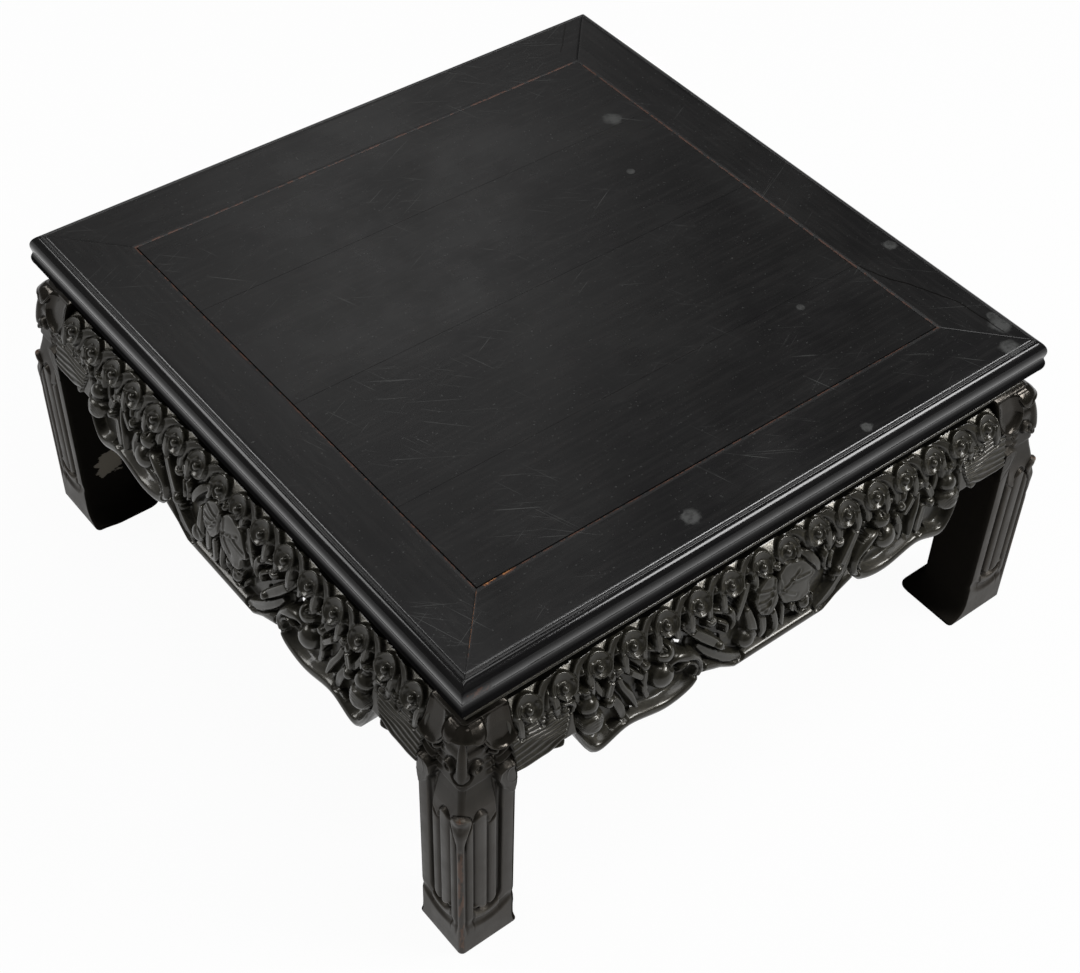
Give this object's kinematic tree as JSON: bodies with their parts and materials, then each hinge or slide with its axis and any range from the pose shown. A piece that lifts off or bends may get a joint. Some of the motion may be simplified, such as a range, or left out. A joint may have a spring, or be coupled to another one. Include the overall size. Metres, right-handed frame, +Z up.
{
  "type": "kang table",
  "caption": "Low square table with a framed flush panel, a recessed waist, pierced carved aprons and reeded square legs with turned-in toes.",
  "frame": {"origin": "centre of the table's footprint, on the floor under the feet", "axes": "+Z up; X along the front and rear sides; +Y from the front to the rear"},
  "size_m": [0.6704, 0.6804, 0.328],
  "materials": {
    "top_wood": "near-black lacquered hardwood, glossy, worn brown at the mitres",
    "panel_wood": "near-black lacquered hardwood, glossy, with faint grain and pale water spots",
    "carved_wood": "dark olive-brown carved hardwood, rubbed highlights, dusty in the hollows",
    "leg_wood": "dark grey-brown hardwood, satin, reddish-brown wear along the corner",
    "hidden_wood": "unfinished dark brown hardwood"
  },
  "bodies": {
    "root": {"frame_front": "top_wood", "frame_rear": "top_wood", "frame_left": "top_wood", "frame_right": "top_wood", "panel_board_1": "panel_wood", "panel_board_2": "panel_wood", "panel_board_3": "panel_wood", "panel_board_4": "panel_wood", "batten_left": "hidden_wood", "batten_middle": "hidden_wood", "batten_right": "hidden_wood", "waist_front": "carved_wood", "waist_rear": "carved_wood", "waist_left": "carved_wood", "waist_right": "carved_wood", "apron_front": "carved_wood", "apron_rear": "carved_wood", "apron_left": "carved_wood", "apron_right": "carved_wood", "leg_front_left": "leg_wood", "leg_front_right": "leg_wood", "leg_rear_left": "leg_wood", "leg_rear_right": "leg_wood", "apron_keys": "hidden_wood"}
  },
  "joints": []
}
